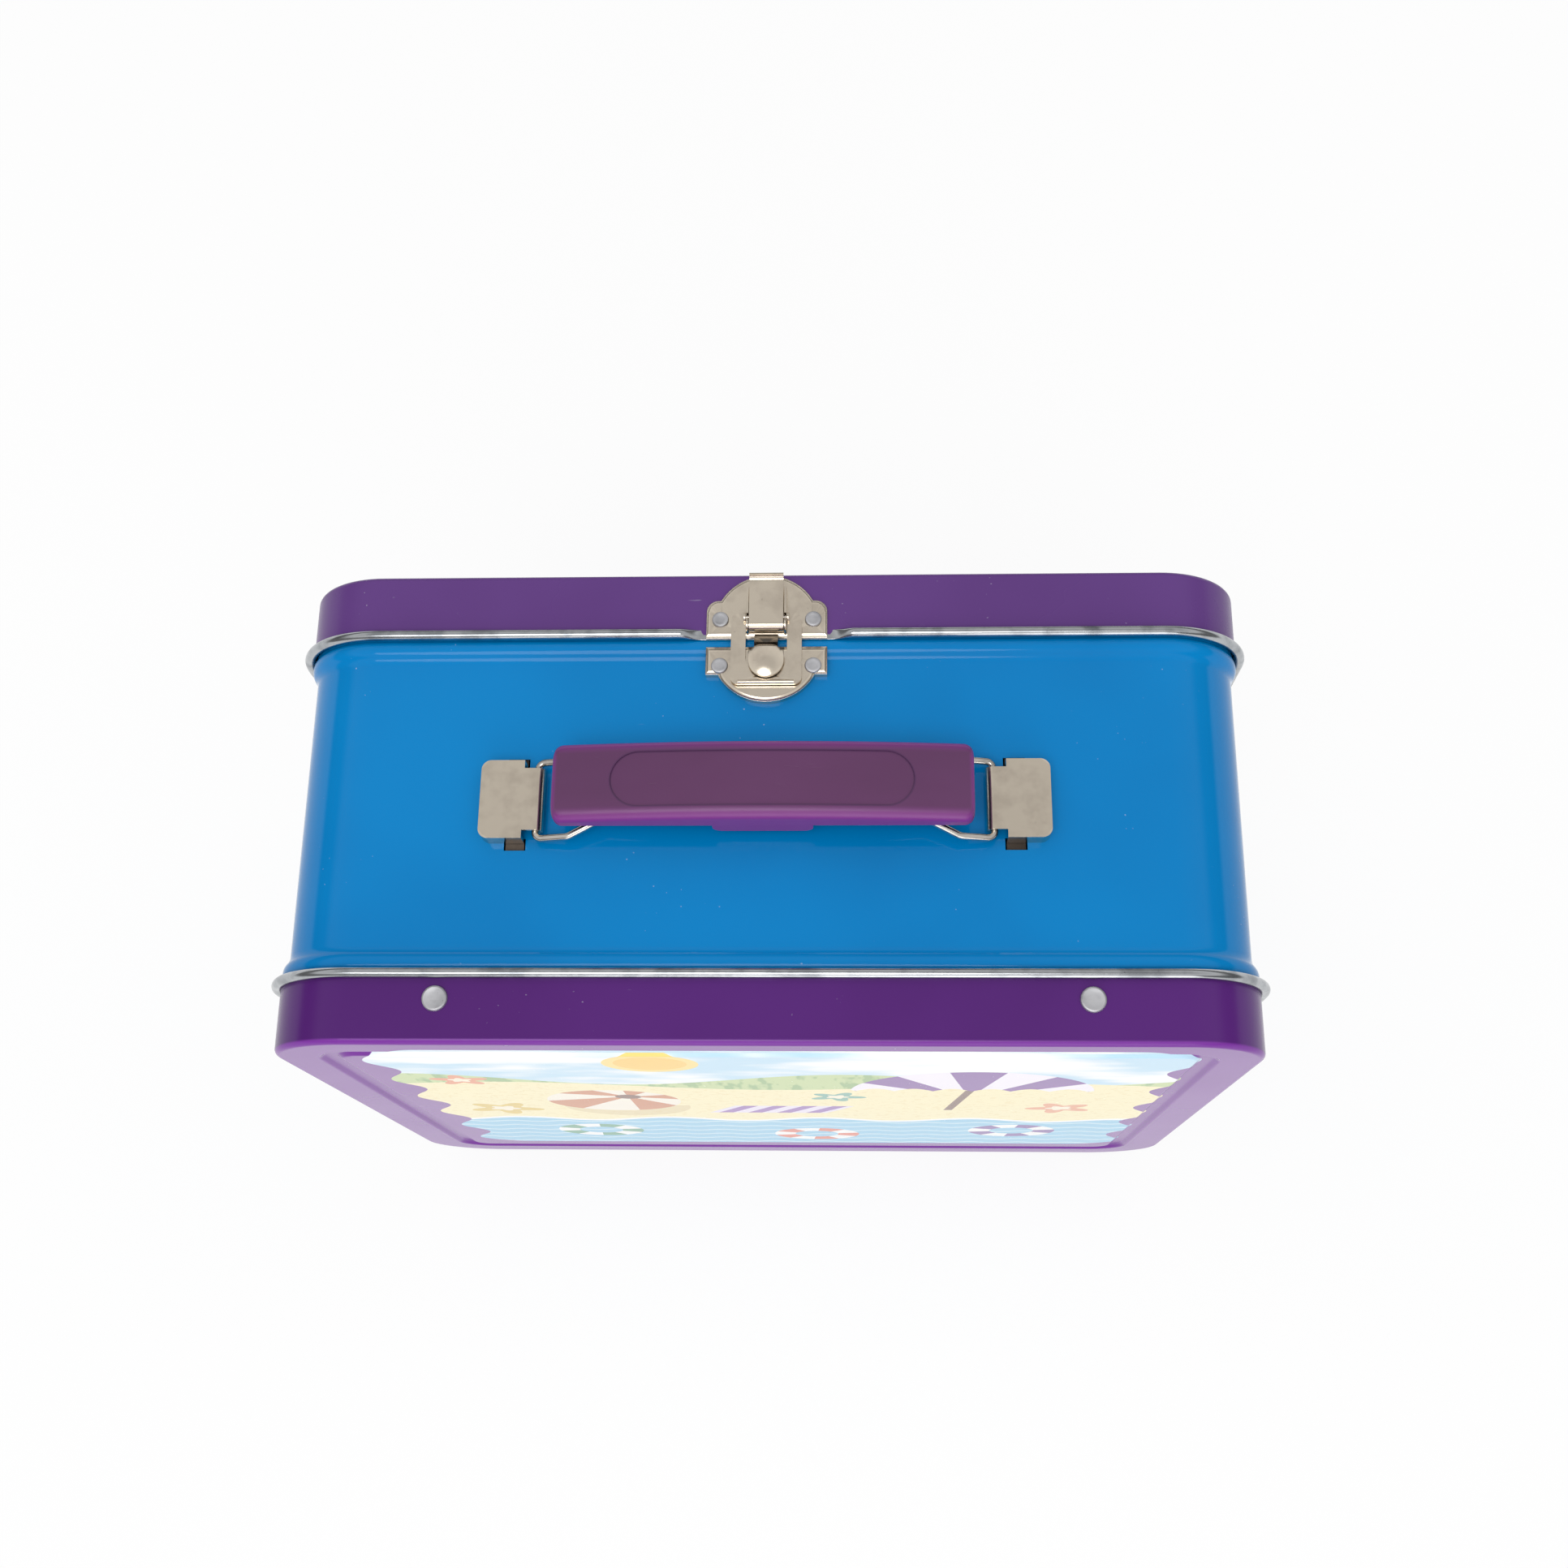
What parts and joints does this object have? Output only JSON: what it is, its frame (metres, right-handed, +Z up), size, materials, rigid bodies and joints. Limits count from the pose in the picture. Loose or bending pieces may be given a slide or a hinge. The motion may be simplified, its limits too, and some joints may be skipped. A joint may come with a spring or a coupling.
{
  "type": "lunch-box style tin money box",
  "caption": "Upright rounded-corner carry tin for coins, with a hinged back lid, a toggle latch and a folding carry handle on top.",
  "frame": {"origin": "under the middle of the tin, on the plane on which its two curled rims stand", "axes": "+X along the width, -Y out of the fixed front face, +Y out of the hinged back lid, +Z up towards the handle"},
  "size_m": [0.2038, 0.1, 0.182],
  "materials": {
    "band_blue": "glossy blue lacquer on tinplate",
    "tray_purple": "glossy printed lacquer on tinplate, bare bright rim",
    "lid_purple": "glossy lacquer on tinplate, bare bright rim",
    "rivet_steel": "dull bare metal",
    "nickel": "warm bright nickel plating",
    "hinge_steel": "plain plated steel",
    "wire_steel": "bright nickel-plated wire",
    "grip_purple": "glossy moulded plastic"
  },
  "bodies": {
    "tin_body": {"band_shell": "band_blue", "front_tray": "tray_purple", "tray_rivets": "rivet_steel", "latch_catch_plate": "nickel", "catch_rivets": "rivet_steel", "handle_bracket_left": "nickel", "handle_bracket_right": "nickel", "hinge_leaf_body_left": "hinge_steel", "hinge_leaf_body_right": "hinge_steel", "hinge_body_rivets": "rivet_steel", "hinge_pin_left": "hinge_steel", "hinge_pin_right": "hinge_steel"},
    "lid": {"back_lid": "lid_purple", "hinge_leaf_lid_left": "hinge_steel", "hinge_leaf_lid_right": "hinge_steel", "hinge_lid_rivets": "rivet_steel", "latch_base_plate": "nickel", "latch_base_rivets": "rivet_steel", "latch_lever_pin": "nickel"},
    "lever": {"latch_lever": "nickel", "latch_hoop_pin": "nickel"},
    "hoop": {"latch_hoop": "nickel"},
    "wire_left": {"handle_wire_left": "wire_steel"},
    "wire_right": {"handle_wire_right": "wire_steel"},
    "grip": {"handle_grip": "grip_purple"}
  },
  "joints": [
    {"name": "lid_hinge", "type": "hinge", "parent": "tin_body", "child": "lid", "pos_m": [0, 0.036, 0.0011], "axis": [-1, 0, 0], "range_deg": [0, 110]},
    {"name": "lever_hinge", "type": "hinge", "parent": "lid", "child": "lever", "pos_m": [0, 0.0371, 0.17255], "axis": [1, 0, 0], "range_deg": [0, 100]},
    {"name": "hoop_hinge", "type": "hinge", "parent": "lever", "child": "hoop", "pos_m": [0, 0.03903, 0.17203], "axis": [1, 0, 0], "range_deg": [-90, 0]},
    {"name": "wire_left_hinge", "type": "hinge", "parent": "tin_body", "child": "wire_left", "pos_m": [-0.046, -0.0007, 0.17105], "axis": [0, -1, 0], "range_deg": [0, 40]},
    {"name": "wire_right_hinge", "type": "hinge", "parent": "tin_body", "child": "wire_right", "pos_m": [0.046, -0.0007, 0.17105], "axis": [0, 1, 0], "range_deg": [0, 40]},
    {"name": "grip_slide", "type": "slide", "parent": "tin_body", "child": "grip", "axis": [0, 0, 1], "range_m": [0, 0.01515]}
  ],
  "couplings": [
    {"joint": "hoop_hinge", "follows": "lever_hinge", "ratio": -0.885},
    {"joint": "wire_left_hinge", "follows": "grip_slide", "rad_per_m": 46.08},
    {"joint": "wire_right_hinge", "follows": "grip_slide", "rad_per_m": 46.08}
  ]
}
